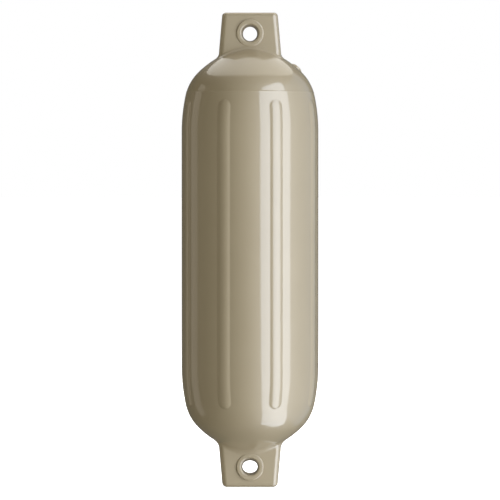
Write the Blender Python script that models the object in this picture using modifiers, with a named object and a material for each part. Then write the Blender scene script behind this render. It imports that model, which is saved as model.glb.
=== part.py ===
# An inflatable boat fender: a ribbed, domed body with a rope eye moulded at each end,
# and a screwed plug that closes its air valve. Metres, +Z up, standing on the lower eye.
import math

import bmesh
import bpy
from mathutils import Matrix, Vector

# Body, a turned form that is the same above and below its middle: a straight part, then a
# shoulder, a dome and a flatter cap, each an arc that starts where the one before it leans in
# by the angle given
BODY_RADIUS = 0.070
STRAIGHT_LENGTH = 0.2426
SHOULDER_RADIUS = 0.176
SHOULDER_TURN = math.radians(12.0)
DOME_RADIUS = 0.0478
DOME_TURN = math.radians(46.0)
CAP_RADIUS = 0.100

# Mould line round the upper dome, where the end of the mould meets its middle
SEAM_TURN = math.radians(16.5)
SEAM_WIDTH = 0.0016
SEAM_HEIGHT = 0.0003

# Ribs down the body
RIB_COUNT = 8
RIB_WIDTH = 0.0137
RIB_HEIGHT = 0.0012
RIB_ROOT = 0.003
RIB_ABOVE_STRAIGHT = 0.0331
RIB_BELOW_STRAIGHT = 0.0386

# Eye blocks, measured where their front face meets the dome
LUG_WIDTH = 0.0629
LUG_THICKNESS = 0.0260
LUG_TAPER = math.radians(4.4)
LUG_CORNER = 0.0055
LUG_FOOT_FILLET = 0.003
UPPER_TIP_ROUND = 0.0042
LOWER_TIP_ROUND = 0.0050
TIP_BEYOND_EYE = 0.0213

# Rope eyes through the blocks
EYE_BEYOND_DOME = 0.0158
EYE_RADIUS = 0.00865
EYE_THROAT_RADIUS = 0.0072
EYE_MOUTH_ROUND = 0.0015
RING_RADIUS = 0.0140
RING_ROUND = 0.0012
RING_PROUD = 0.0002

# Air valve on the upper dome, just behind the fender's right side
VALVE_INSET = 0.0218
VALVE_BEARING = math.radians(10.0)
BOSS_RADIUS = 0.0062
BOSS_HEIGHT = 0.0012
BOSS_ROUND = 0.0006
BOSS_FOOT_FILLET = 0.0005
PLUG_HEAD_RADIUS = 0.0045
PLUG_HEAD_HEIGHT = 0.0018
PLUG_HEAD_ROUND = 0.0007
PLUG_SEAT_DEPTH = 0.0012
PLUG_STEM_RADIUS = 0.0030
PLUG_STEM_LENGTH = 0.0120
PLUG_SLOT_WIDTH = 0.0012
PLUG_SLOT_DEPTH = 0.0011
PLUG_CLEARANCE = 0.0003

# How finely the round forms are faceted
BODY_SIDES = 64
SHOULDER_STEPS = 4
DOME_STEPS = 6
CAP_STEPS = 4
RIB_SIDES = 16
RIB_RINGS = 9
RIB_CUTS = 5
LUG_FRONT_STEPS = 6
LUG_SIDE_STEPS = 3
CORNER_STEPS = 4
FILLET_STEPS = 3
EYE_SIDES = 32
VALVE_SIDES = 24
ROUND_STEPS = 3

# How far a joined piece reaches into its carrier, and a cutter past what it cuts
SUNK = 0.0005
OVERRUN = 0.002
WELD = 0.00001
SHARP_ANGLE = math.radians(35.0)

# Where the arcs of the outline start and end
STRAIGHT_END = STRAIGHT_LENGTH / 2
SHOULDER_CENTRE = BODY_RADIUS - SHOULDER_RADIUS
SHOULDER_END_RADIUS = SHOULDER_CENTRE + SHOULDER_RADIUS * math.cos(SHOULDER_TURN)
SHOULDER_END_HEIGHT = STRAIGHT_END + SHOULDER_RADIUS * math.sin(SHOULDER_TURN)
DOME_CENTRE_RADIUS = SHOULDER_END_RADIUS - DOME_RADIUS * math.cos(SHOULDER_TURN)
DOME_CENTRE_HEIGHT = SHOULDER_END_HEIGHT - DOME_RADIUS * math.sin(SHOULDER_TURN)
CAP_START_RADIUS = DOME_CENTRE_RADIUS + DOME_RADIUS * math.cos(DOME_TURN)
CAP_START_HEIGHT = DOME_CENTRE_HEIGHT + DOME_RADIUS * math.sin(DOME_TURN)
CAP_CENTRE_RADIUS = CAP_START_RADIUS - CAP_RADIUS * math.cos(DOME_TURN)
CAP_CENTRE_HEIGHT = CAP_START_HEIGHT - CAP_RADIUS * math.sin(DOME_TURN)
CAP_END_TURN = math.acos(-CAP_CENTRE_RADIUS / CAP_RADIUS)


def shoulder_point(turn):
    """Radius and height on the gentle arc, where the outline leans in by this angle."""
    radius = SHOULDER_CENTRE + SHOULDER_RADIUS * math.cos(turn)
    return radius, STRAIGHT_END + SHOULDER_RADIUS * math.sin(turn)


def dome_point(turn, lift=0.0):
    """Radius and height on the tighter arc of the dome, lifted off it by a given amount."""
    reach = DOME_RADIUS + lift
    return DOME_CENTRE_RADIUS + reach * math.cos(turn), DOME_CENTRE_HEIGHT + reach * math.sin(turn)


def cap_point(turn):
    """Radius and height on the flatter arc under the eye block."""
    return CAP_CENTRE_RADIUS + CAP_RADIUS * math.cos(turn), CAP_CENTRE_HEIGHT + CAP_RADIUS * math.sin(turn)


def outline_at_height(height):
    """Radius and lean of the body at a height above or below its middle."""
    level = abs(height)
    if level <= STRAIGHT_END:
        return BODY_RADIUS, 0.0
    if level <= SHOULDER_END_HEIGHT:
        turn = math.asin((level - STRAIGHT_END) / SHOULDER_RADIUS)
        return shoulder_point(turn)[0], math.copysign(turn, height)
    if level <= CAP_START_HEIGHT:
        turn = math.asin((level - DOME_CENTRE_HEIGHT) / DOME_RADIUS)
        return dome_point(turn)[0], math.copysign(turn, height)
    turn = math.asin(min((level - CAP_CENTRE_HEIGHT) / CAP_RADIUS, 1.0))
    return cap_point(turn)[0], math.copysign(turn, height)


def dome_height(radius):
    """Height of the upper end's surface above the middle, at a distance from the axis."""
    if radius <= CAP_START_RADIUS:
        return CAP_CENTRE_HEIGHT + math.sqrt(CAP_RADIUS ** 2 - (radius - CAP_CENTRE_RADIUS) ** 2)
    if radius <= SHOULDER_END_RADIUS:
        return DOME_CENTRE_HEIGHT + math.sqrt(DOME_RADIUS ** 2 - (radius - DOME_CENTRE_RADIUS) ** 2)
    return STRAIGHT_END + math.sqrt(max(SHOULDER_RADIUS ** 2 - (radius - SHOULDER_CENTRE) ** 2, 0.0))


LUG_ROOT_HEIGHT = dome_height(LUG_THICKNESS / 2)
EYE_HEIGHT = LUG_ROOT_HEIGHT + EYE_BEYOND_DOME
TIP_HEIGHT = EYE_HEIGHT + TIP_BEYOND_EYE


def arc(centre, radius, start, end, steps):
    """Points along an arc in a profile, both ends included."""
    points = []
    for step in range(steps + 1):
        angle = start + (end - start) * step / steps
        points.append((centre[0] + radius * math.cos(angle), centre[1] + radius * math.sin(angle)))
    return points


# Scene, collections and materials

def clear_scene():
    for item in list(bpy.data.objects):
        bpy.data.objects.remove(item, do_unlink=True)


def make_collection(name):
    collection = bpy.data.collections.new(name)
    bpy.context.scene.collection.children.link(collection)
    return collection


def make_material(name, colour, roughness):
    material = bpy.data.materials.new(name)
    material.use_nodes = True
    shader = material.node_tree.nodes["Principled BSDF"]
    shader.inputs["Base Color"].default_value = (*colour, 1.0)
    shader.inputs["Roughness"].default_value = roughness
    shader.inputs["Metallic"].default_value = 0.0
    return material


def add_object(name, mesh, collection, parent, place=Matrix.Identity(4)):
    item = bpy.data.objects.new(name, mesh)
    collection.objects.link(item)
    item.parent = parent
    item.matrix_local = place
    return item


def add_tool(name, mesh, tools, parent, place=Matrix.Identity(4)):
    """A cutter, or a shape to be joined on: drawn as wire and never rendered."""
    mesh.shade_smooth()
    mesh.set_sharp_from_angle(angle=SHARP_ANGLE)
    item = add_object(name, mesh, tools, parent, place)
    item.hide_render = True
    item.display_type = "WIRE"
    return item


def profile_mesh(name, points):
    """An open line of points in the XZ plane, to be turned round Z."""
    mesh = bpy.data.meshes.new(name)
    edges = [(index, index + 1) for index in range(len(points) - 1)]
    mesh.from_pydata([(radius, 0.0, height) for radius, height in points], edges, [])
    return mesh


def turn_round(item, sides):
    screw = item.modifiers.new("Turn", "SCREW")
    screw.steps = sides
    screw.render_steps = sides
    screw.use_merge_vertices = True
    screw.merge_threshold = WELD
    screw.use_smooth_shade = True


def combine(item, tool, operation):
    boolean = item.modifiers.new(tool.name, "BOOLEAN")
    boolean.operation = operation
    boolean.solver = "EXACT"
    boolean.object = tool


# Body

def end_rows(has_seam):
    """Radius and height over one end, from the edge of the straight part to the axis."""
    rows = [shoulder_point(SHOULDER_TURN * step / SHOULDER_STEPS) for step in range(SHOULDER_STEPS + 1)]
    start = SHOULDER_TURN
    if has_seam:
        half = SEAM_WIDTH / 2 / DOME_RADIUS
        rows.append(dome_point(SEAM_TURN - half))
        rows.append(dome_point(SEAM_TURN, SEAM_HEIGHT))
        rows.append(dome_point(SEAM_TURN + half))
        start = SEAM_TURN + half
    for step in range(1, DOME_STEPS + 1):
        rows.append(dome_point(start + (DOME_TURN - start) * step / DOME_STEPS))
    for step in range(1, CAP_STEPS):
        rows.append(cap_point(DOME_TURN + (CAP_END_TURN - DOME_TURN) * step / CAP_STEPS))
    rows.append((0.0, dome_height(0.0)))
    return rows


def make_body(collection, parent, material):
    upper = end_rows(True)
    lower = [(radius, -height) for radius, height in end_rows(False)]
    mesh = profile_mesh("fender_body", upper[::-1] + lower)
    mesh.materials.append(material)
    body = add_object("fender_body", mesh, collection, parent)
    turn_round(body, BODY_SIDES)
    return body


# Ribs

def lay_on_body(across, along, lift, bearing):
    """A point of a rib, carried from the flat onto the body's surface."""
    radius, lean = outline_at_height(along)
    angle = bearing + across / radius
    reach = radius + lift * math.cos(lean)
    return Vector((reach * math.cos(angle), reach * math.sin(angle), along + lift * math.sin(lean)))


def add_rib(target, bearing):
    """A ball with an odd number of rings, pulled out to a long capsule and bent along the body.

    The square of the ball's height makes its outer half a low crown. Its rim is sunk in the
    body, so the ball is wider than the rib that shows.
    """
    rib = bmesh.new()
    bmesh.ops.create_uvsphere(rib, u_segments=RIB_SIDES, v_segments=RIB_RINGS, radius=1.0)
    widest = math.cos(math.pi / RIB_RINGS / 2)
    ball_height = RIB_HEIGHT + SUNK
    half_width = RIB_WIDTH / 2 * math.sqrt(ball_height / RIB_HEIGHT)
    top = STRAIGHT_END + RIB_ABOVE_STRAIGHT - RIB_WIDTH / 2
    bottom = -STRAIGHT_END - RIB_BELOW_STRAIGHT + RIB_WIDTH / 2
    for vert in rib.verts:
        vert.co.z = vert.co.z * half_width + (top if vert.co.z > 0 else bottom)
    for cut in range(1, RIB_CUTS):
        level = bottom + (top - bottom) * cut / RIB_CUTS
        geometry = rib.verts[:] + rib.edges[:] + rib.faces[:]
        bmesh.ops.bisect_plane(rib, geom=geometry, plane_co=(0, 0, level), plane_no=(0, 0, 1))
    for vert in rib.verts:
        across = vert.co.x / widest * half_width
        rise = vert.co.y / widest
        lift = rise ** 2 * ball_height if rise > 0 else rise * RIB_ROOT
        vert.co = lay_on_body(-across, vert.co.z, lift - SUNK, bearing)
    piece = bpy.data.meshes.new("rib")
    rib.to_mesh(piece)
    rib.free()
    target.from_mesh(piece)
    bpy.data.meshes.remove(piece)


def make_ribs(tools, parent):
    ribs = bmesh.new()
    spacing = 2 * math.pi / RIB_COUNT
    for index in range(RIB_COUNT):
        add_rib(ribs, spacing * (index + 0.5))
    mesh = bpy.data.meshes.new("ribs")
    ribs.to_mesh(mesh)
    ribs.free()
    return add_tool("ribs", mesh, tools, parent)


# Eye blocks

def block_outline(half_x, half_y, corner):
    """Anticlockwise points of a rounded rectangle, with its straight sides divided."""
    bends = []
    for quarter, (sign_x, sign_y) in enumerate(((1, 1), (-1, 1), (-1, -1), (1, -1))):
        centre = (sign_x * (half_x - corner), sign_y * (half_y - corner))
        start = math.pi / 2 * quarter
        bends.append(arc(centre, corner, start, start + math.pi / 2, CORNER_STEPS))
    outline = []
    for quarter, bend in enumerate(bends):
        outline.extend(bend)
        steps = LUG_FRONT_STEPS if quarter % 2 == 0 else LUG_SIDE_STEPS
        first, last = Vector(bend[-1]), Vector(bends[(quarter + 1) % 4][0])
        for step in range(1, steps):
            outline.append(tuple(first.lerp(last, step / steps)))
    return outline


def block_level(height, grow=0.0):
    """The block's outline at a height, grown outwards or, if negative, drawn in."""
    narrowing = (height - LUG_ROOT_HEIGHT) * math.tan(LUG_TAPER)
    half_x = LUG_WIDTH / 2 - narrowing + grow
    half_y = LUG_THICKNESS / 2 - narrowing + grow
    return block_outline(half_x, half_y, LUG_CORNER + grow)


def foot_row(grow, rise):
    """A row of the block's foot that follows the dome, at a rise above it."""
    heights = [LUG_ROOT_HEIGHT] * len(block_level(LUG_ROOT_HEIGHT))
    row = []
    for _ in range(3):
        row = []
        for index, height in enumerate(heights):
            x, y = block_level(height, grow)[index]
            row.append((x, y, dome_height(math.hypot(x, y)) + rise))
        heights = [point[2] for point in row]
    return row


def block_rows(tip_round):
    """The block's rows of points, from a flat floor inside the dome up to its end face."""
    lowest = min(point[2] for point in foot_row(LUG_FOOT_FILLET, 0.0)) - LUG_FOOT_FILLET
    rows = [[(x, y, lowest) for x, y in block_level(LUG_ROOT_HEIGHT)]]
    rows.append(foot_row(LUG_FOOT_FILLET, -SUNK))
    for step in range(1, FILLET_STEPS + 1):
        angle = math.pi / 2 * step / FILLET_STEPS
        grow = LUG_FOOT_FILLET * (1 - math.sin(angle))
        rows.append(foot_row(grow, LUG_FOOT_FILLET * (1 - math.cos(angle))))
    for step in range(FILLET_STEPS + 1):
        angle = math.pi / 2 * step / FILLET_STEPS
        height = TIP_HEIGHT - tip_round * (1 - math.sin(angle))
        level = block_level(height, -tip_round * (1 - math.cos(angle)))
        rows.append([(x, y, height) for x, y in level])
    return rows


def make_block(name, end, tip_round, tools, parent):
    """A loft from a foot that follows the dome to a flat, rounded end; end is 1 above, -1 below."""
    loft = bmesh.new()
    rows = [[loft.verts.new((x, end * y, end * z)) for x, y, z in row] for row in block_rows(tip_round)]
    count = len(rows[0])
    for low, high in zip(rows, rows[1:]):
        for index in range(count):
            after = (index + 1) % count
            loft.faces.new((low[index], low[after], high[after], high[index]))
    loft.faces.new(rows[0][::-1])
    loft.faces.new(rows[-1])
    mesh = bpy.data.meshes.new(name)
    loft.to_mesh(mesh)
    loft.free()
    return add_tool(name, mesh, tools, parent)


# Rope eyes

def across_eye(end):
    """Places a turned shape at an eye, with its axis from front to back."""
    return Matrix.Translation((0.0, 0.0, end * EYE_HEIGHT)) @ Matrix.Rotation(math.pi / 2, 4, "X")


def ring_profile():
    """Half of a disc with rounded rims, a little thicker than the block at its root."""
    face = LUG_THICKNESS / 2 + RING_PROUD
    inner = RING_RADIUS - RING_ROUND
    upper = arc((inner, face - RING_ROUND), RING_ROUND, math.pi / 2, 0.0, ROUND_STEPS)
    lower = [(radius, -height) for radius, height in upper[::-1]]
    return [(0.0, face)] + upper + lower + [(0.0, -face)]


def eye_profile():
    """The bore's cutter: it narrows from both mouths, which are rounded, to the mould's split."""
    face = LUG_THICKNESS / 2 + RING_PROUD
    mouth = EYE_RADIUS + EYE_MOUTH_ROUND
    upper = arc((mouth, face - EYE_MOUTH_ROUND), EYE_MOUTH_ROUND, math.pi / 2, math.pi, ROUND_STEPS)
    above = [(0.0, face + OVERRUN), (mouth, face + OVERRUN)] + upper
    below = [(radius, -height) for radius, height in above[::-1]]
    return above + [(EYE_THROAT_RADIUS, 0.0)] + below


def make_turned_tool(name, profile, sides, tools, parent, place):
    tool = add_tool(name, profile_mesh(name, profile), tools, parent, place)
    turn_round(tool, sides)
    return tool


# Air valve

def valve_place():
    """Places a turned shape on the dome, with its axis square to the surface."""
    from_axis = BODY_RADIUS - VALVE_INSET
    lean = outline_at_height(dome_height(from_axis))[1]
    point = Matrix.Translation((from_axis, 0.0, dome_height(from_axis)))
    return Matrix.Rotation(VALVE_BEARING, 4, "Z") @ point @ Matrix.Rotation(math.pi / 2 - lean, 4, "Y")


def boss_profile():
    """A low round boss with a rounded rim, spread at its foot to blend into the dome."""
    rim_centre = (BOSS_RADIUS - BOSS_ROUND, BOSS_HEIGHT - BOSS_ROUND)
    rim = arc(rim_centre, BOSS_ROUND, math.pi / 2, 0.0, ROUND_STEPS)
    foot_centre = (BOSS_RADIUS + BOSS_FOOT_FILLET, BOSS_FOOT_FILLET)
    foot = arc(foot_centre, BOSS_FOOT_FILLET, math.pi, math.pi * 1.5, ROUND_STEPS)[:-1]
    root = -BOSS_RADIUS / 2
    base = (BOSS_RADIUS + BOSS_FOOT_FILLET, -SUNK)
    return [(0.0, BOSS_HEIGHT)] + rim + foot + [base, (BOSS_RADIUS, root), (0.0, root)]


def plug_seat():
    """Height of the step that the plug's head sits on, above the dome's surface."""
    return BOSS_HEIGHT - PLUG_SEAT_DEPTH


def pocket_profile():
    """The stepped hole for the plug, larger than the plug all round by the clearance."""
    head = PLUG_HEAD_RADIUS + PLUG_CLEARANCE
    stem = PLUG_STEM_RADIUS + PLUG_CLEARANCE
    floor = plug_seat() - PLUG_STEM_LENGTH - PLUG_CLEARANCE
    above = BOSS_HEIGHT + OVERRUN
    wide = [(0.0, above), (head, above), (head, plug_seat())]
    return wide + [(stem, plug_seat()), (stem, floor), (0.0, floor)]


def plug_profile():
    """A flat-headed plug with a rounded rim, lifted off its seat by the clearance."""
    seat = plug_seat() + PLUG_CLEARANCE
    top = seat + PLUG_HEAD_HEIGHT
    rim_centre = (PLUG_HEAD_RADIUS - PLUG_HEAD_ROUND, top - PLUG_HEAD_ROUND)
    rim = arc(rim_centre, PLUG_HEAD_ROUND, math.pi / 2, 0.0, ROUND_STEPS)
    end = plug_seat() - PLUG_STEM_LENGTH + PLUG_CLEARANCE
    stem = [(PLUG_HEAD_RADIUS, seat), (PLUG_STEM_RADIUS, seat), (PLUG_STEM_RADIUS, end), (0.0, end)]
    return [(0.0, top)] + rim + stem


def make_plug(collection, tools, parent, material):
    mesh = profile_mesh("valve_plug", plug_profile())
    mesh.materials.append(material)
    plug = add_object("valve_plug", mesh, collection, parent, valve_place())
    turn_round(plug, VALVE_SIDES)

    slot_mesh = bpy.data.meshes.new("plug_slot")
    slot = bmesh.new()
    bmesh.ops.create_cube(slot, size=1.0)
    length = 2 * (PLUG_HEAD_RADIUS + OVERRUN)
    bmesh.ops.scale(slot, vec=(length, PLUG_SLOT_WIDTH, 2 * PLUG_SLOT_DEPTH), verts=slot.verts)
    slot.to_mesh(slot_mesh)
    slot.free()
    top = plug_seat() + PLUG_CLEARANCE + PLUG_HEAD_HEIGHT
    place = valve_place() @ Matrix.Translation((0.0, 0.0, top))
    combine(plug, add_tool("plug_slot", slot_mesh, tools, parent, place), "DIFFERENCE")
    return plug


def build():
    clear_scene()
    parts = make_collection("boat_fender")
    tools = make_collection("joining_and_cutting_shapes")
    vinyl = make_material("sand_vinyl", (0.40, 0.33, 0.21), 0.2)
    nylon = make_material("plug_nylon", (0.58, 0.51, 0.38), 0.35)

    middle = bpy.data.objects.new("fender_middle", None)
    parts.objects.link(middle)
    middle.location.z = TIP_HEIGHT

    body = make_body(parts, middle, vinyl)
    for name, end, tip_round in (("upper", 1, UPPER_TIP_ROUND), ("lower", -1, LOWER_TIP_ROUND)):
        combine(body, make_block(name + "_block", end, tip_round, tools, middle), "UNION")
        place = across_eye(end)
        ring = make_turned_tool(name + "_ring", ring_profile(), EYE_SIDES, tools, middle, place)
        combine(body, ring, "UNION")
        eye = make_turned_tool(name + "_eye", eye_profile(), EYE_SIDES, tools, middle, place)
        combine(body, eye, "DIFFERENCE")
    combine(body, make_ribs(tools, middle), "UNION")
    place = valve_place()
    boss = make_turned_tool("valve_boss", boss_profile(), VALVE_SIDES, tools, middle, place)
    combine(body, boss, "UNION")
    pocket = make_turned_tool("valve_pocket", pocket_profile(), VALVE_SIDES, tools, middle, place)
    combine(body, pocket, "DIFFERENCE")
    make_plug(parts, tools, middle, nylon)


build()
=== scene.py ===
import math

import bmesh
import bpy
import numpy as np
from mathutils import Matrix, Vector


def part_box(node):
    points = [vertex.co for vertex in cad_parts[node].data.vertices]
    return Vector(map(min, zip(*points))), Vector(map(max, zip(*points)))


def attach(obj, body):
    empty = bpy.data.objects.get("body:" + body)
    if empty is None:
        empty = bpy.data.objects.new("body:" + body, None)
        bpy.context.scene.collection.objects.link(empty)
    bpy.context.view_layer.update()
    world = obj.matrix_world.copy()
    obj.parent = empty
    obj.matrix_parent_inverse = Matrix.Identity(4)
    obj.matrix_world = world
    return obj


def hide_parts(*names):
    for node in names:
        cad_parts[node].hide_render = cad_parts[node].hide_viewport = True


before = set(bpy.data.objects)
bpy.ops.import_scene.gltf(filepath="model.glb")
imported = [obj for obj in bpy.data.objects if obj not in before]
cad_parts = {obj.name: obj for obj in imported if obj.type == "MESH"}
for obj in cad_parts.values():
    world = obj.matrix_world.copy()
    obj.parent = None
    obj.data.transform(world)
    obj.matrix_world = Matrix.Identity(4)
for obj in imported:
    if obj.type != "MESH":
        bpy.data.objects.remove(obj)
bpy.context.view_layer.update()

# All sizes are in metres, and heights count up from the middle of the fender's length.
low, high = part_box("fender_body")
middle = (low[2] + high[2]) / 2
tipHeight = (high[2] - low[2]) / 2

# The turned outline of the body, from the parallel part out to the cap under each eye
outline = {
    "radius": (high[0] - low[0]) / 2,
    "straightEnd": 0.1213,
    "shoulderRadius": 0.176,
    "shoulderTurn": math.radians(12.0),
    "domeRadius": 0.0478,
    "domeTurn": math.radians(46.0),
    "capRadius": 0.100,
}
shoulderCentre = outline["radius"] - outline["shoulderRadius"]
shoulderEndRadius = shoulderCentre + outline["shoulderRadius"] * math.cos(outline["shoulderTurn"])
shoulderEndHeight = outline["straightEnd"] + outline["shoulderRadius"] * math.sin(outline["shoulderTurn"])
domeCentreRadius = shoulderEndRadius - outline["domeRadius"] * math.cos(outline["shoulderTurn"])
domeCentreHeight = shoulderEndHeight - outline["domeRadius"] * math.sin(outline["shoulderTurn"])
capStartRadius = domeCentreRadius + outline["domeRadius"] * math.cos(outline["domeTurn"])
capCentreRadius = capStartRadius - outline["capRadius"] * math.cos(outline["domeTurn"])
capDrop = outline["capRadius"] - outline["domeRadius"]
capCentreHeight = domeCentreHeight - capDrop * math.sin(outline["domeTurn"])


def outlineRadius(height):
    # radius of the tube, the shoulders and the first part of the domes
    level = abs(height)
    if level > shoulderEndHeight:
        return domeCentreRadius + math.sqrt(outline["domeRadius"] ** 2 - (level - domeCentreHeight) ** 2)
    bend = max(level - outline["straightEnd"], 0.0)
    return shoulderCentre + math.sqrt(outline["shoulderRadius"] ** 2 - bend ** 2)


def domePoint(turn, lift=0.0):
    reach = outline["domeRadius"] + lift
    return domeCentreRadius + reach * math.cos(turn), domeCentreHeight + reach * math.sin(turn)


def domeHeight(radius):
    # height of the upper end's surface from the middle, at distances from the axis
    cap = capCentreHeight + np.sqrt(outline["capRadius"] ** 2 - (radius - capCentreRadius) ** 2)
    inside = np.maximum(outline["domeRadius"] ** 2 - (radius - domeCentreRadius) ** 2, 0.0)
    return np.where(radius < capStartRadius, cap, domeCentreHeight + np.sqrt(inside))


# Ribs: a low crown with a hollow blend at its foot, and round ends
rib = {
    "count": 8,
    "crown": 0.0062,        # half width of the crown
    "blend": 0.0013,        # width of the blend outside it
    "edgeSlope": 0.32,      # rise over run where crown and blend meet
    "endSlope": 0.80,       # the same at the lower end
    "top": 0.1541,          # ends of the blends
    "bottom": -0.1598,
    "crownSteps": 9,        # mesh columns over half a crown
    "blendSteps": 4,
    "gapSteps": 10,         # mesh columns between two ribs
}
ribFoot = rib["crown"] + rib["blend"]
ribReach = [rib["crown"] * step / rib["crownSteps"] for step in range(rib["crownSteps"] + 1)]
for step in range(1, rib["blendSteps"] + 1):
    ribReach.append(rib["crown"] + rib["blend"] * step / rib["blendSteps"])

# Eye blocks, measured where their front face meets the dome
block = {
    "halfWidth": 0.03145,
    "halfThickness": 0.0130,
    "taper": math.radians(4.4),
    "corner": 0.0055,
    "upperFootFillet": 0.0032,
    "lowerFootFillet": 0.0046,
    "upperTipRound": 0.0042,
    "lowerTipRound": 0.0050,
    "sideSteps": 20,        # mesh columns over half a side face
    "cornerSteps": 16,
    "frontSteps": 36,       # mesh columns over half the front face
    "tipInsets": (0.0012, 0.0004),  # mesh rows on the flat tip, in from its round edge
    "tipSteps": 6,          # mesh rows over the tip's round edge
    "wallSteps": 20,
    "filletSteps": 8,
    "domeSteps": 36,        # mesh rows from the fillet to the mould line
}
blockRoot = float(domeHeight(block["halfThickness"]))

# Mould line round the upper dome
seam = {
    "turn": math.radians(16.5),
    "width": 0.0024,
    "height": 0.0002,
    "shape": (0.0, 0.25, 0.75, 1.0, 0.75, 0.25, 0.0),
}
seamSpan = seam["width"] / outline["domeRadius"]    # as a turn of the dome
seamEndHeight = domePoint(seam["turn"] - seamSpan / 2)[1]

# Rope eyes
eye = {
    "height": tipHeight - 0.0213,
    "radius": 0.00865,
    # half width, half height and drop of each bore's narrowest part, the upper eye's first
    "throats": ((0.0072, 0.0072, 0.0004), (0.0077, 0.0063, 0.0008)),
    "mouthRound": 0.0015,
    "ringRadius": 0.0140,
    "ringRound": 0.0012,
    "ringFace": 0.0132,
    "sides": 128,
    "roundSteps": 6,
}
cutOverrun = 0.002      # how far a cutter stands out of what it cuts


def barrelBearings():
    # one bearing for each mesh column: close together over the ribs, wider between them
    spacing = 2 * math.pi / rib["count"]
    footAngle = ribFoot / outline["radius"]
    gap = spacing - 2 * footAngle
    steps = rib["gapSteps"]
    between = [gap * (1 - math.cos(math.pi * step / steps)) / 2 for step in range(steps + 1)]
    bearings = []
    for index in range(rib["count"]):
        start = spacing * index
        centre = start + spacing / 2
        bearings += [start - gap / 2 + turn for turn in between[steps // 2:-1]]
        bearings += [centre - reach / outline["radius"] for reach in ribReach[:0:-1]]
        bearings += [centre + reach / outline["radius"] for reach in ribReach[:-1]]
        bearings += [centre + footAngle + turn for turn in between[:steps // 2]]
    return np.array(bearings)


def blockOutline(height, grow):
    # the block's rounded rectangle at a height, one point for each mesh column, from +X round
    narrowing = (height - blockRoot) * math.tan(block["taper"])
    halfX = block["halfWidth"] - narrowing + grow
    halfY = block["halfThickness"] - narrowing + grow
    corner = max(block["corner"] + grow, 0.0001)    # never quite sharp
    side, bend, front = block["sideSteps"], block["cornerSteps"], block["frontSteps"]
    quarter = []
    for step in range(side):
        quarter.append((halfX, (halfY - corner) * step / side))
    for step in range(bend):
        angle = math.pi / 2 * step / bend
        quarter.append((halfX - corner * (1 - math.cos(angle)), halfY - corner * (1 - math.sin(angle))))
    for step in range(front + 1):
        quarter.append(((halfX - corner) * (1 - step / front), halfY))
    quarter = np.array(quarter)
    mirrored = quarter[-2::-1] * (-1, 1)
    half = np.concatenate([quarter, mirrored])
    return np.concatenate([half[:-1], -half[:-1]])


def footRow(grow, rise):
    # a row of the block's foot that follows the dome
    height = np.full(columnCount, blockRoot)
    for _ in range(3):
        flat = np.empty((columnCount, 2))
        for level in np.unique(height.round(7)):
            chosen = np.isclose(height, level, atol=1e-7)
            flat[chosen] = blockOutline(level, grow)[chosen]
        height = domeHeight(np.hypot(flat[:, 0], flat[:, 1])) + rise
    return np.column_stack([flat, height])


def flatRow(flat, height):
    return np.column_stack([flat, np.full(len(flat), height)])


def ringRow(radius, height):
    return flatRow(radius * np.column_stack([np.cos(bearings), np.sin(bearings)]), height)


bearings = barrelBearings()
columnCount = len(bearings)


def endRows(tipRound, footFillet, hasSeam):
    # rows of points from the flat tip down past the mould line, for the upper end
    rows = []
    for inset in block["tipInsets"]:
        rows.append(flatRow(blockOutline(tipHeight, -tipRound - inset), tipHeight))
    for step in range(block["tipSteps"] + 1):
        angle = math.pi / 2 * (1 - step / block["tipSteps"])
        level = blockOutline(tipHeight, -tipRound * (1 - math.cos(angle)))
        rows.append(flatRow(level, tipHeight - tipRound * (1 - math.sin(angle))))
    fillet = []
    for step in range(block["filletSteps"] + 1):
        angle = math.pi / 2 * (1 - step / block["filletSteps"])
        fillet.append(footRow(footFillet * (1 - math.sin(angle)), footFillet * (1 - math.cos(angle))))
    start, end = rows[-1], fillet[0]
    for step in range(1, block["wallSteps"]):
        rows.append(start + (end - start) * step / block["wallSteps"])
    rows += fillet

    # the dome: each point stays on the surface while the rows turn from block to circle
    circle = ringRow(*domePoint(seam["turn"] + seamSpan))
    foot = fillet[-1]
    for step in range(1, block["domeSteps"] + 1):
        share = step / block["domeSteps"]
        flat = foot[:, :2] * (1 - share) + circle[:, :2] * share
        rows.append(np.column_stack([flat, domeHeight(np.hypot(flat[:, 0], flat[:, 1]))]))

    # the mould line, which only the upper end has
    for index, share in enumerate(seam["shape"]):
        turn = seam["turn"] + seamSpan * (0.5 - index / (len(seam["shape"]) - 1))
        rows.append(ringRow(*domePoint(turn, seam["height"] * share * hasSeam)))
    return rows


def spread(start, end, step):
    # evenly spaced heights after start, up to and with end
    count = max(1, round(abs(end - start) / step))
    return [start + (end - start) * index / count for index in range(1, count + 1)]


def barrelHeights():
    # heights of the rows between the two ends' own, closest together at the ribs' round ends
    topCentre, bottomCentre = rib["top"] - ribFoot, rib["bottom"] + ribFoot
    heights = spread(seamEndHeight, rib["top"], 0.0015)
    heights += [topCentre + reach for reach in ribReach[-2::-1]]
    heights += spread(topCentre, outline["straightEnd"], 0.002)
    heights += spread(outline["straightEnd"], -outline["straightEnd"], 0.0065)
    heights += spread(-outline["straightEnd"], bottomCentre, 0.002)
    heights += [bottomCentre - reach for reach in ribReach[1:]]
    heights += spread(rib["bottom"], -seamEndHeight, 0.0015)[:-1]
    return heights


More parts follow.
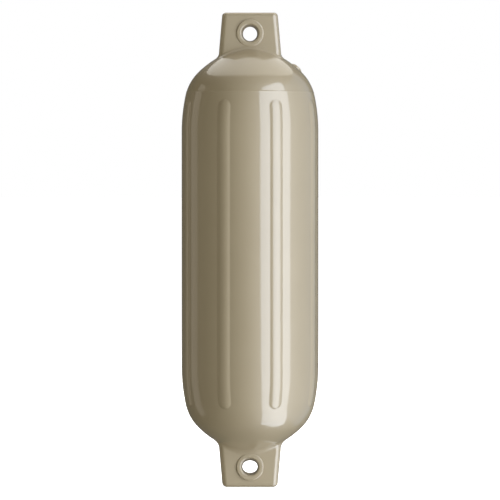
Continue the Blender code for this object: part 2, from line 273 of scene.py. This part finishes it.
def makeSkin():
    rows = endRows(block["upperTipRound"], block["upperFootFillet"], True)
    rows += [ringRow(outlineRadius(height), height) for height in barrelHeights()]
    lower = endRows(block["lowerTipRound"], block["lowerFootFillet"], False)
    rows += [row * (1, 1, -1) for row in lower[::-1]]
    points = np.concatenate(rows) + (0, 0, middle)
    count = len(rows)
    faces = []
    for row in range(count - 1):
        for column in range(columnCount):
            after = (column + 1) % columnCount
            first, second = row * columnCount, (row + 1) * columnCount
            faces.append((first + column, second + column, second + after, first + after))
    faces.append(tuple(range(columnCount)))
    faces.append(tuple(range((count - 1) * columnCount, count * columnCount))[::-1])
    mesh = bpy.data.meshes.new("fenderSkin")
    mesh.from_pydata(points.tolist(), [], faces)
    mesh.shade_smooth()
    skin = bpy.data.objects.new("fender_skin", mesh)
    bpy.context.scene.collection.objects.link(skin)
    return skin


def addNode(tree, kind, inputs=None, **settings):
    # an input is a value, a socket to link, or a node whose first output is linked
    node = tree.nodes.new(kind)
    for name, value in settings.items():
        setattr(node, name, value)
    for name, value in (inputs or {}).items():
        if isinstance(value, bpy.types.Node):
            tree.links.new(value.outputs[0], node.inputs[name])
        elif isinstance(value, bpy.types.NodeSocket):
            tree.links.new(value, node.inputs[name])
        else:
            node.inputs[name].default_value = value
    return node


def hexColour(text):
    # sRGB hex to linear RGBA
    parts = [int(text[start:start + 2], 16) / 255 for start in (1, 3, 5)]
    linear = [part / 12.92 if part <= 0.04045 else ((part + 0.055) / 1.055) ** 2.4
              for part in parts]
    return (*linear, 1.0)


# Moulded, plasticised PVC: an opaque sand-coloured vinyl. The mould's polish leaves a clear
# gloss over a softer sheen, so lamps show with crisp edges and a wide glow round them.
vinylLook = {
    "colour": "#A59679",
    "shade": "#9F9073",
    "mottleMm": 38.0,       # slow change of colour through the moulding
    "grainMm": 1.6,         # faint orange peel, drawn coarse enough to show
    "grainDepthMm": 0.012,
    "waveMm": 55.0,         # from uneven cooling
    "waveDepthMm": 0.05,
    "roughness": 0.42,
    "coatRoughness": 0.06,
    "ior": 1.54,
}


def makeVinyl():
    look = vinylLook
    material = bpy.data.materials.new("sand_vinyl_moulded")
    material.use_nodes = True
    tree = material.node_tree
    tree.nodes.clear()
    place = addNode(tree, "ShaderNodeTexCoord").outputs["Object"]
    mottle = addNode(tree, "ShaderNodeTexNoise",
                     {"Vector": place, "Scale": 1000 / look["mottleMm"], "Detail": 2.0})
    colour = addNode(tree, "ShaderNodeMix",
                     {"Factor": mottle, 6: hexColour(look["colour"]), 7: hexColour(look["shade"])},
                     data_type="RGBA")    # sockets 6 and 7 are its two colours
    wave = addNode(tree, "ShaderNodeTexNoise",
                   {"Vector": place, "Scale": 1000 / look["waveMm"], "Detail": 0.0})
    waveBump = addNode(tree, "ShaderNodeBump", {"Height": wave, "Distance": look["waveDepthMm"] / 1000})
    grain = addNode(tree, "ShaderNodeTexNoise",
                    {"Vector": place, "Scale": 1000 / look["grainMm"], "Detail": 1.0})
    grainBump = addNode(tree, "ShaderNodeBump", {
        "Height": grain, "Normal": waveBump, "Distance": look["grainDepthMm"] / 1000})
    shader = addNode(tree, "ShaderNodeBsdfPrincipled", {
        "Base Color": colour.outputs[2],
        "Roughness": look["roughness"],
        "IOR": look["ior"],
        "Normal": waveBump,
        "Coat Weight": 1.0,
        "Coat Roughness": look["coatRoughness"],
        "Coat IOR": look["ior"],
        "Coat Normal": grainBump,
    })
    addNode(tree, "ShaderNodeOutputMaterial", {"Surface": shader})
    return material


# Injection-moulded nylon, undyed: a paler, duller tan than the vinyl
plugLook = {"colour": "#B7AA8E", "roughness": 0.38, "ior": 1.53}


def makeNylon():
    look = plugLook
    material = bpy.data.materials.new("natural_nylon_moulded")
    material.use_nodes = True
    tree = material.node_tree
    tree.nodes.clear()
    shader = addNode(tree, "ShaderNodeBsdfPrincipled", {
        "Base Color": hexColour(look["colour"]),
        "Roughness": look["roughness"],
        "IOR": look["ior"],
    })
    addNode(tree, "ShaderNodeOutputMaterial", {"Surface": shader})
    return material


def makeRibTree():
    # raises the ribs out of the skin, by each point's distance from the nearest rib's middle line
    tree = bpy.data.node_groups.new("raiseRibs", "GeometryNodeTree")
    sockets = tree.interface
    sockets.new_socket("Geometry", in_out="INPUT", socket_type="NodeSocketGeometry")
    for name in ("Ribs", "Crown", "Blend", "Edge slope", "End slope", "Top", "Bottom"):
        sockets.new_socket(name, in_out="INPUT", socket_type="NodeSocketFloat")
    sockets.new_socket("Material", in_out="INPUT", socket_type="NodeSocketMaterial")
    sockets.new_socket("Geometry", in_out="OUTPUT", socket_type="NodeSocketGeometry")
    given = addNode(tree, "NodeGroupInput").outputs
    kind = "ShaderNodeMath"
    point = addNode(tree, "GeometryNodeInputPosition")
    axes = addNode(tree, "ShaderNodeSeparateXYZ", {0: point}).outputs

    # across: along the skin from the rib's middle line; past: beyond the middle of its round end
    bearing = addNode(tree, kind, {0: axes["Y"], 1: axes["X"]}, operation="ARCTAN2")
    spacing = addNode(tree, kind, {0: 2 * math.pi, 1: given["Ribs"]}, operation="DIVIDE")
    halfSpacing = addNode(tree, kind, {0: spacing, 1: 0.5}, operation="MULTIPLY")
    turn = addNode(tree, kind, {0: bearing, 1: spacing}, operation="FLOORED_MODULO")
    fromRib = addNode(tree, kind, {0: turn, 1: halfSpacing}, operation="SUBTRACT")
    flat = addNode(tree, "ShaderNodeCombineXYZ", {"X": axes["X"], "Y": axes["Y"]})
    radius = addNode(tree, "ShaderNodeVectorMath", {0: flat}, operation="LENGTH").outputs["Value"]
    across = addNode(tree, kind, {0: fromRib, 1: radius}, operation="MULTIPLY")
    reach = addNode(tree, kind, {0: given["Crown"], 1: given["Blend"]}, operation="ADD")
    topCentre = addNode(tree, kind, {0: given["Top"], 1: reach}, operation="SUBTRACT")
    bottomCentre = addNode(tree, kind, {0: given["Bottom"], 1: reach}, operation="ADD")
    over = addNode(tree, kind, {0: axes["Z"], 1: topCentre}, operation="SUBTRACT")
    under = addNode(tree, kind, {0: bottomCentre, 1: axes["Z"]}, operation="SUBTRACT")
    outside = addNode(tree, kind, {0: over, 1: under}, operation="MAXIMUM")
    past = addNode(tree, kind, {0: outside, 1: 0.0}, operation="MAXIMUM")
    offset = addNode(tree, "ShaderNodeCombineXYZ", {"X": across, "Y": past})
    distance = addNode(tree, "ShaderNodeVectorMath", {0: offset}, operation="LENGTH").outputs["Value"]

    # two parabolas that meet at the edge slope, once they are multiplied by half of it
    inward = addNode(tree, kind, {0: reach, 1: distance}, operation="SUBTRACT")
    inward = addNode(tree, kind, {0: inward, 1: 0.0}, operation="MAXIMUM")
    blendLift = addNode(tree, kind, {0: inward, 1: inward}, operation="MULTIPLY")
    blendLift = addNode(tree, kind, {0: blendLift, 1: given["Blend"]}, operation="DIVIDE")
    crownLift = addNode(tree, kind, {0: distance, 1: distance}, operation="MULTIPLY")
    crownLift = addNode(tree, kind, {0: crownLift, 1: given["Crown"]}, operation="DIVIDE")
    crownLift = addNode(tree, kind, {0: reach, 1: crownLift}, operation="SUBTRACT")

    # towards the lower end the edge gets steeper, and the crown fuller, so that they still meet
    lowPast = addNode(tree, kind, {0: under, 1: 0.0}, operation="MAXIMUM")
    away = addNode(tree, kind, {0: distance, 1: 1e-6}, operation="MAXIMUM")
    endShare = addNode(tree, kind, {0: lowPast, 1: away}, operation="DIVIDE")
    endShare = addNode(tree, kind, {0: endShare, 1: 2.0}, operation="POWER")
    moreSlope = addNode(tree, kind, {0: given["End slope"], 1: given["Edge slope"]}, operation="SUBTRACT")
    moreSlope = addNode(tree, kind, {0: moreSlope, 1: endShare}, operation="MULTIPLY")
    # share^4 (crown + 3 blend - share^2 (crown + 2 blend)), where share is distance over crown
    share = addNode(tree, kind, {0: distance, 1: given["Crown"]}, operation="DIVIDE")
    squared = addNode(tree, kind, {0: share, 1: 2.0}, operation="POWER")
    fourth = addNode(tree, kind, {0: share, 1: 4.0}, operation="POWER")
    outer = addNode(tree, kind, {0: given["Blend"], 1: 3.0, 2: given["Crown"]}, operation="MULTIPLY_ADD")
    inner = addNode(tree, kind, {0: given["Blend"], 1: 2.0, 2: given["Crown"]}, operation="MULTIPLY_ADD")
    inner = addNode(tree, kind, {0: inner, 1: squared}, operation="MULTIPLY")
    fuller = addNode(tree, kind, {0: outer, 1: inner}, operation="SUBTRACT")
    fuller = addNode(tree, kind, {0: fuller, 1: fourth}, operation="MULTIPLY")

    inBlend = addNode(tree, kind, {0: distance, 1: given["Crown"]}, operation="GREATER_THAN")
    base = addNode(tree, "GeometryNodeSwitch", {"Switch": inBlend, "False": crownLift, "True": blendLift},
                   input_type="FLOAT")
    extra = addNode(tree, "GeometryNodeSwitch", {"Switch": inBlend, "False": fuller, "True": blendLift},
                    input_type="FLOAT")
    extra = addNode(tree, kind, {0: extra, 1: moreSlope}, operation="MULTIPLY")
    lift = addNode(tree, kind, {0: base, 1: given["Edge slope"], 2: extra}, operation="MULTIPLY_ADD")
    lift = addNode(tree, kind, {0: lift, 1: 0.5}, operation="MULTIPLY")

    normal = addNode(tree, "GeometryNodeInputNormal")
    rise = addNode(tree, "ShaderNodeVectorMath", {0: normal, "Scale": lift}, operation="SCALE")
    moved = addNode(tree, "GeometryNodeSetPosition", {"Geometry": given["Geometry"], "Offset": rise})
    real = addNode(tree, "GeometryNodeRealizeInstances", {"Geometry": moved})
    painted = addNode(tree, "GeometryNodeSetMaterial", {"Geometry": real, "Material": given["Material"]})
    addNode(tree, "NodeGroupOutput", {"Geometry": painted})
    return tree


def makePlain(item):
    # swaps an object's live modifiers for the plain mesh that they make
    bpy.context.view_layer.update()
    graph = bpy.context.evaluated_depsgraph_get()
    mesh = bpy.data.meshes.new_from_object(item.evaluated_get(graph), depsgraph=graph)
    item.modifiers.clear()
    item.data = mesh


def raiseRibs(skin, vinyl):
    tree = makeRibTree()
    modifier = skin.modifiers.new("Ribs", "NODES")
    modifier.node_group = tree
    values = {
        "Ribs": float(rib["count"]),
        "Crown": rib["crown"],
        "Blend": rib["blend"],
        "Edge slope": rib["edgeSlope"],
        "End slope": rib["endSlope"],
        "Top": middle + rib["top"],
        "Bottom": middle + rib["bottom"],
        "Material": vinyl,
    }
    for item in tree.interface.items_tree:
        if item.in_out == "INPUT" and item.name in values:
            modifier[item.identifier] = values[item.name]
    makePlain(skin)


def arc(centre, radius, start, end, steps):
    # points of an arc, as distances from an axis and heights along it
    turns = [start + (end - start) * step / steps for step in range(steps + 1)]
    return [(centre[0] + radius * math.cos(turn), centre[1] + radius * math.sin(turn))
            for turn in turns]


def addRows(target, rows, place):
    # joins closed rows of points into a target bmesh; a row of one point closes an end
    made = [[target.verts.new(place @ Vector(point)) for point in row] for row in rows]
    sides = max(len(row) for row in made)
    for upper, lower in zip(made, made[1:]):
        for side in range(sides):
            after = (side + 1) % sides
            if len(upper) == 1:
                target.faces.new((upper[0], lower[side], lower[after]))
            elif len(lower) == 1:
                target.faces.new((upper[side], lower[0], upper[after]))
            else:
                target.faces.new((upper[side], lower[side], lower[after], upper[after]))


def addTurned(target, profile, sides, place):
    # turns a closed profile, given from the top of the axis to its bottom
    turns = [2 * math.pi * side / sides for side in range(sides)]
    rows = []
    for radius, height in profile:
        if radius < 1e-9:
            rows.append([(0, 0, height)])
        else:
            rows.append([(radius * math.cos(turn), radius * math.sin(turn), height) for turn in turns])
    addRows(target, rows, place)


def toObject(name, target):
    mesh = bpy.data.meshes.new(name)
    target.to_mesh(mesh)
    target.free()
    item = bpy.data.objects.new(name, mesh)
    bpy.context.scene.collection.objects.link(item)
    return item


def eyePlaces():
    for height in (eye["height"], -eye["height"]):
        yield Matrix.Translation((0, 0, middle + height)) @ Matrix.Rotation(math.pi / 2, 4, "X")


def ringProfile():
    face, rim = eye["ringFace"], eye["ringRound"]
    upper = arc((eye["ringRadius"] - rim, face - rim), rim, math.pi / 2, 0.0, eye["roundSteps"])
    lower = [(radius, -height) for radius, height in upper[::-1]]
    return [(0.0, face)] + upper + lower + [(0.0, -face)]


def boreRows(throat):
    # the bore's cutter: round at its rounded mouths, and narrowed to an oval throat at the middle
    face, lip = eye["ringFace"], eye["mouthRound"]
    mouth = eye["radius"] + lip
    end = face + cutOverrun
    above = [(mouth, end, 0.0)]
    for radius, height in arc((mouth, face - lip), lip, math.pi / 2, math.pi, eye["roundSteps"]):
        above.append((radius, height, 0.0))
    for share in (0.2, 0.4, 0.6, 0.8, 0.9, 0.97):    # how far each row is on the way to the throat
        above.append((eye["radius"], (face - lip) * (1 - share), share))
    halfWidth, halfHeight, drop = throat
    turns = [2 * math.pi * side / eye["sides"] for side in range(eye["sides"])]
    rows = []
    below = [(radius, -height, share) for radius, height, share in above[::-1]]
    for radius, height, share in above + below:
        wide = radius + (halfWidth - radius) * share
        tall = radius + (halfHeight - radius) * share
        rows.append([(wide * math.cos(turn), tall * math.sin(turn) - drop * share, height)
                     for turn in turns])
    return [[(0, 0, end)]] + rows + [[(0, 0, -end)]]


# Air valve: a boss on the dome, and the screwed plug in its pocket
valve = {
    "inset": 0.0218,        # in from the body's side
    "bearing": math.radians(10.0),
    "bossRadius": 0.0062,
    "bossHeight": 0.0012,
    "bossRound": 0.0006,
    "bossFillet": 0.0005,
    "headRadius": 0.0045,
    "headHeight": 0.0018,
    "headRound": 0.0007,
    "seatDepth": 0.0012,
    "stemRadius": 0.0030,
    "stemLength": 0.0120,
    "slotWidth": 0.0012,
    "slotDepth": 0.0011,
    "clearance": 0.0003,
    "sides": 72,
    "roundSteps": 6,
}
seatHeight = valve["bossHeight"] - valve["seatDepth"]
valveRadius = outline["radius"] - valve["inset"]
valveLean = math.asin((valveRadius - capCentreRadius) / outline["capRadius"])
valvePlace = (Matrix.Translation((0, 0, middle)) @ Matrix.Rotation(valve["bearing"], 4, "Z")
              @ Matrix.Translation((valveRadius, 0, float(domeHeight(valveRadius))))
              @ Matrix.Rotation(valveLean, 4, "Y"))


def bossProfile():
    radius, height, rim = valve["bossRadius"], valve["bossHeight"], valve["bossRound"]
    fillet = valve["bossFillet"]
    top = arc((radius - rim, height - rim), rim, math.pi / 2, 0.0, valve["roundSteps"])
    foot = arc((radius + fillet, fillet), fillet, math.pi, 1.5 * math.pi, valve["roundSteps"])[:-1]
    root = -radius / 2      # sunk into the dome
    return [(0.0, height)] + top + foot + [(radius + fillet, -fillet), (radius, root), (0.0, root)]


def pocketProfile():
    head = valve["headRadius"] + valve["clearance"]
    stem = valve["stemRadius"] + valve["clearance"]
    above = valve["bossHeight"] + cutOverrun
    floor = seatHeight - valve["stemLength"] - valve["clearance"]
    return [(0.0, above), (head, above), (head, seatHeight),
            (stem, seatHeight), (stem, floor), (0.0, floor)]


def plugProfile():
    seat = seatHeight + valve["clearance"]
    top = seat + valve["headHeight"]
    radius, rim, stem = valve["headRadius"], valve["headRound"], valve["stemRadius"]
    end = seatHeight - valve["stemLength"] + valve["clearance"]
    head = arc((radius - rim, top - rim), rim, math.pi / 2, 0.0, valve["roundSteps"])
    return [(0.0, top)] + head + [(radius, seat), (stem, seat), (stem, end), (0.0, end)]


def shadeSmooth(item, crease):
    item.data.shade_smooth()
    item.data.set_sharp_from_angle(angle=math.radians(crease))


def combine(item, tool, operation):
    boolean = item.modifiers.new(operation, "BOOLEAN")
    boolean.operation = operation
    boolean.solver = "EXACT"
    boolean.object = tool
    makePlain(item)
    bpy.data.objects.remove(tool, do_unlink=True)


def finishEyesAndBoss(skin):
    added = bmesh.new()
    cut = bmesh.new()
    for place, throat in zip(eyePlaces(), eye["throats"]):
        addTurned(added, ringProfile(), eye["sides"], place)
        addRows(cut, boreRows(throat), place)
    addTurned(added, bossProfile(), valve["sides"], valvePlace)
    addTurned(cut, pocketProfile(), valve["sides"], valvePlace)
    combine(skin, toObject("raised", added), "UNION")
    combine(skin, toObject("bored", cut), "DIFFERENCE")
    shadeSmooth(skin, 38.0)


def makePlug(nylon):
    target = bmesh.new()
    addTurned(target, plugProfile(), valve["sides"], valvePlace)
    plug = toObject("valve_plug_turned", target)
    slot = bmesh.new()
    bmesh.ops.create_cube(slot, size=1.0)
    length = 2 * valve["headRadius"] + cutOverrun
    bmesh.ops.scale(slot, vec=(length, valve["slotWidth"], 2 * valve["slotDepth"]), verts=slot.verts)
    top = seatHeight + valve["clearance"] + valve["headHeight"]
    bmesh.ops.transform(slot, matrix=valvePlace @ Matrix.Translation((0, 0, top)), verts=slot.verts)
    combine(plug, toObject("slot", slot), "DIFFERENCE")
    shadeSmooth(plug, 30.0)
    plug.data.materials.clear()
    plug.data.materials.append(nylon)
    return plug


# Studio: each lamp is a cloth at a bearing, round from the front towards the right, and a rise, in
# degrees. "shine" is how bright it looks in the gloss, and "fill" how much it lights the colour.
# The edge is given as metres to the side and up from the cloth's middle.
studio = {
    "key": {
        "bearing": 43.5, "rise": 0.0, "distance": 0.8,
        "shine": 4.53, "fill": 3.21, "tint": "#ECF3FF",
        "edge": ((-0.42, 0.48), (-0.39, 0.77), (-0.27, 0.88), (0.03, 0.99), (0.40, 1.15), (0.50, 1.04),
                 (0.42, 0.58), (0.39, 0.0), (0.41, -0.54), (1.42, -2.16), (1.49, -2.68), (1.03, -2.85),
                 (0.31, -2.31), (-0.02, -2.22), (-0.35, -0.47), (-0.41, 0.0)),
    },
    "overhead": {
        "bearing": 180.0, "rise": 68.5, "distance": 1.2,
        "shine": 1.50, "fill": 1.40, "tint": "#FFFCF4",
        "across": 1.64,     # a round cloth
    },
    "left": {
        "bearing": -105.0, "rise": 0.0, "distance": 1.0,
        "shine": 0.80, "fill": 0.98, "tint": "#FFF5E4",
        "edge": ((-0.15, 0.75), (0.15, 0.75), (0.15, -0.75), (-0.15, -0.75)),
    },
    "right": {
        "bearing": 107.0, "rise": 0.0, "distance": 1.2,
        "shine": 0.57, "fill": 0.25, "tint": "#D7E7FF",
        "edge": ((-0.8, 1.2), (0.8, 1.2), (0.8, -1.2), (-0.8, -1.2)),
    },
    "back": {
        "bearing": 180.0, "rise": 0.0, "distance": 1.5,
        "shine": 0.14, "fill": 3.60, "tint": "#FFF9EE",
        "edge": ((-0.5, 1.0), (0.5, 1.0), (0.5, -1.0), (-0.5, -1.0)),
    },
}


def addLamp(name, lamp, strength, kind):
    # a glowing flat cloth that faces the fender
    if "edge" in lamp:
        edge = lamp["edge"]
    else:
        edge = arc((0, 0), lamp["across"] / 2, 0, 2 * math.pi, 48)[:-1]
    bearing, rise = math.radians(lamp["bearing"]), math.radians(lamp["rise"])
    side = Vector((math.cos(bearing), math.sin(bearing), 0))
    level = Vector((math.sin(bearing), -math.cos(bearing), 0))
    way = level * math.cos(rise) + Vector((0, 0, math.sin(rise)))
    up = way.cross(side)
    centre = way * lamp["distance"] + Vector((0, 0, middle))
    mesh = bpy.data.meshes.new(name)
    mesh.from_pydata([centre + side * x + up * y for x, y in edge], [], [tuple(range(len(edge)))])
    cloth = bpy.data.materials.new(name)
    cloth.use_nodes = True
    cloth.node_tree.nodes.clear()
    glow = addNode(cloth.node_tree, "ShaderNodeEmission",
                   {"Color": hexColour(lamp["tint"]), "Strength": strength})
    addNode(cloth.node_tree, "ShaderNodeOutputMaterial", {"Surface": glow})
    mesh.materials.append(cloth)
    item = bpy.data.objects.new(name, mesh)
    bpy.context.scene.collection.objects.link(item)
    item.visible_camera = False
    item.visible_shadow = False
    item.visible_glossy = kind != "fill"
    item.visible_diffuse = kind != "shine"


# The room, as brightness by bearing at three heights: level with the fender, and 45 degrees above
# and below. It is brightest in front, and darkest behind.
room = {
    "level": {-180: 0.09, -150: 0.14, -120: 0.27, -90: 0.36, -60: 0.29, -30: 0.33, 0: 0.53,
              30: 0.43, 60: 0.31, 90: 0.23, 120: 0.17, 150: 0.16, 180: 0.09},
    "above": {-180: 0.00, -120: 0.00, -60: 0.05, 0: 0.12, 60: 0.12, 120: 0.06, 180: 0.00},
    "below": {-180: 0.12, -120: 0.18, -60: 0.25, 0: 0.25, 60: 0.17, 120: 0.20, 180: 0.12},
    "heightApart": math.radians(45.0),
    "tint": "#FFF7DA",
    "backdrop": "#FFFFFF",  # as the camera sees it
}


def makeWorld():
    world = bpy.data.worlds.new("studio")
    bpy.context.scene.world = world
    world.use_nodes = True
    tree = world.node_tree
    tree.nodes.clear()
    kind = "ShaderNodeMath"
    way = addNode(tree, "ShaderNodeTexCoord").outputs["Generated"]
    axes = addNode(tree, "ShaderNodeSeparateXYZ", {0: way}).outputs
    front = addNode(tree, kind, {0: axes["Y"], 1: -1.0}, operation="MULTIPLY")
    bearing = addNode(tree, kind, {0: axes["X"], 1: front}, operation="ARCTAN2")
    turns = addNode(tree, kind, {0: bearing, 1: 2 * math.pi}, operation="DIVIDE")
    place = addNode(tree, kind, {0: turns, 1: 0.5}, operation="ADD")
    rise = addNode(tree, kind, {0: axes["Z"]}, operation="ARCSINE")

    # a band counts in full at its own height and not at all from the next one's on
    apart = room["heightApart"]
    height = addNode(tree, kind, {0: rise}, operation="ABSOLUTE")
    shares = {
        "level": addNode(tree, "ShaderNodeMapRange",
                         {"Value": height, "From Max": apart, "To Min": 1.0, "To Max": 0.0}),
        "above": addNode(tree, "ShaderNodeMapRange", {"Value": rise, "From Max": apart}),
        "below": addNode(tree, "ShaderNodeMapRange", {"Value": rise, "From Max": -apart}),
    }
    total = 0.0
    for band, share in shares.items():
        stops = room[band]
        ramp = addNode(tree, "ShaderNodeValToRGB", {"Fac": place})
        elements = ramp.color_ramp.elements
        while len(elements) < len(stops):
            elements.new(0.5)
        for element, (degrees, level) in zip(elements, stops.items()):
            element.position = (degrees + 180) / 360
            element.color = (level, level, level, 1.0)
        total = addNode(tree, kind, {0: share, 1: ramp, 2: total}, operation="MULTIPLY_ADD")
    surround = addNode(tree, "ShaderNodeBackground", {"Color": hexColour(room["tint"]), "Strength": total})
    paper = addNode(tree, "ShaderNodeBackground", {"Color": hexColour(room["backdrop"]), "Strength": 1.0})
    seen = addNode(tree, "ShaderNodeLightPath").outputs["Is Camera Ray"]
    mixed = addNode(tree, "ShaderNodeMixShader", {0: seen, 1: surround, 2: paper})
    addNode(tree, "ShaderNodeOutputWorld", {"Surface": mixed})


# Matt white paper that glows a little, so the floor runs into the backdrop without an edge
floorLook = {"reach": 30.0, "colour": "#F3F3F3", "roughness": 0.9, "glow": 1.0}


def makeFloor():
    reach = floorLook["reach"]
    mesh = bpy.data.meshes.new("floor")
    corners = [(-reach, -reach, 0), (reach, -reach, 0), (reach, reach, 0), (-reach, reach, 0)]
    mesh.from_pydata(corners, [], [(0, 1, 2, 3)])
    floor = bpy.data.objects.new("floor", mesh)
    bpy.context.scene.collection.objects.link(floor)
    paper = bpy.data.materials.new("white_paper")
    paper.use_nodes = True
    paper.node_tree.nodes.clear()
    shader = addNode(paper.node_tree, "ShaderNodeBsdfPrincipled", {
        "Base Color": hexColour(floorLook["colour"]),
        "Roughness": floorLook["roughness"],
        "Specular IOR Level": 0.0,
        "Emission Color": hexColour(room["backdrop"]),
        "Emission Strength": floorLook["glow"],
    })
    addNode(paper.node_tree, "ShaderNodeOutputMaterial", {"Surface": shader})
    mesh.materials.append(paper)
    floor.visible_glossy = False
    floor.visible_diffuse = False
    floor.visible_shadow = False


# The photo's viewpoint
view = {
    "frame": 500,               # pixels each way
    "metresPerPixel": 0.0010249,
    "distance": 3.8,
    "rise": 0.091,
}


def makeCamera():
    camera = bpy.data.cameras.new("camera")
    width = view["frame"] * view["metresPerPixel"]
    camera.sensor_width = 36.0
    camera.lens = camera.sensor_width * view["distance"] / width
    camera.clip_end = 100.0
    item = bpy.data.objects.new("camera", camera)
    bpy.context.scene.collection.objects.link(item)
    item.location = (0, -view["distance"], middle + view["rise"])
    aim = Vector((0, 0, middle)) - item.location
    item.rotation_euler = aim.to_track_quat("-Z", "Y").to_euler()
    bpy.context.scene.camera = item


vinyl = makeVinyl()
nylon = makeNylon()
print("materials made")

skin = makeSkin()
raiseRibs(skin, vinyl)
print("skin and ribs made")
finishEyesAndBoss(skin)
print("eyes and boss made:", len(skin.data.polygons), "faces")
plug = makePlug(nylon)
print("plug made")

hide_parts("fender_body")
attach(skin, "root")
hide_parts("valve_plug")
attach(plug, "root")

for name, lamp in studio.items():
    addLamp(name + "Shine", lamp, lamp["shine"], "shine")
    addLamp(name + "Fill", lamp, lamp["fill"], "fill")
makeWorld()
makeFloor()
makeCamera()
bpy.context.scene.view_settings.view_transform = "Standard"
print("studio made")
